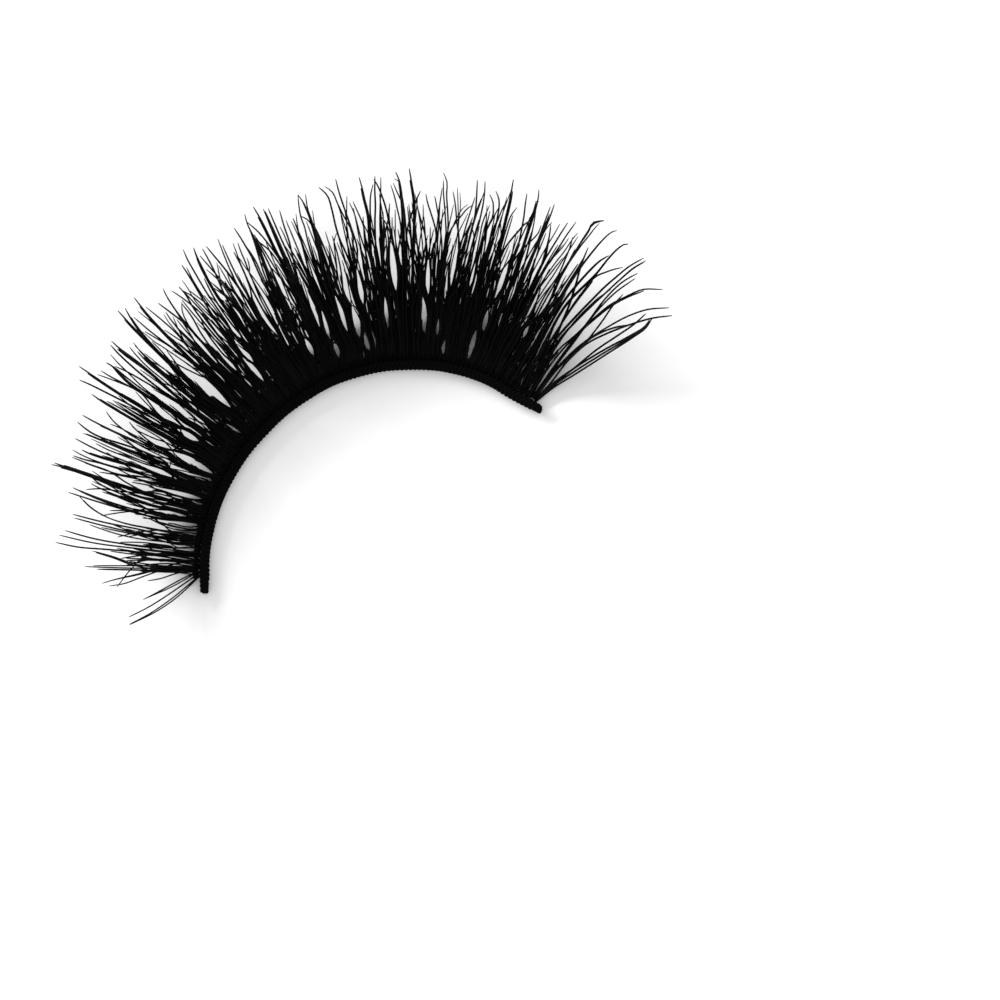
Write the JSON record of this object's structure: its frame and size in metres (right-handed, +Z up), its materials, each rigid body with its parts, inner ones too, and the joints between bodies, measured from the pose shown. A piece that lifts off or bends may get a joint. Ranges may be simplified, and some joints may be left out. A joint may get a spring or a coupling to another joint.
{
  "type": "false eyelash strip",
  "caption": "Strip of black false eyelashes: a curved flat cotton band with a dense fringe of long lashes that curl up from its outer side.",
  "frame": {"origin": "middle of the band's length and width, on its flat glue face", "axes": "+X along the chord from the inner corner's end to the outer corner's end, +Y the way the lashes point, +Z up from the glue face"},
  "size_m": [0.0434, 0.0211, 0.0082],
  "materials": {
    "black_cotton_band": "fine flat-braided black cotton cord, matt, with dried clear size along its inner edge",
    "black_lash_fibre": "tapered black fibre, soft satin with a faint streaky sheen"
  },
  "bodies": {
    "root": {"band": "black_cotton_band", "lash_fringe": "black_lash_fibre"}
  },
  "joints": []
}
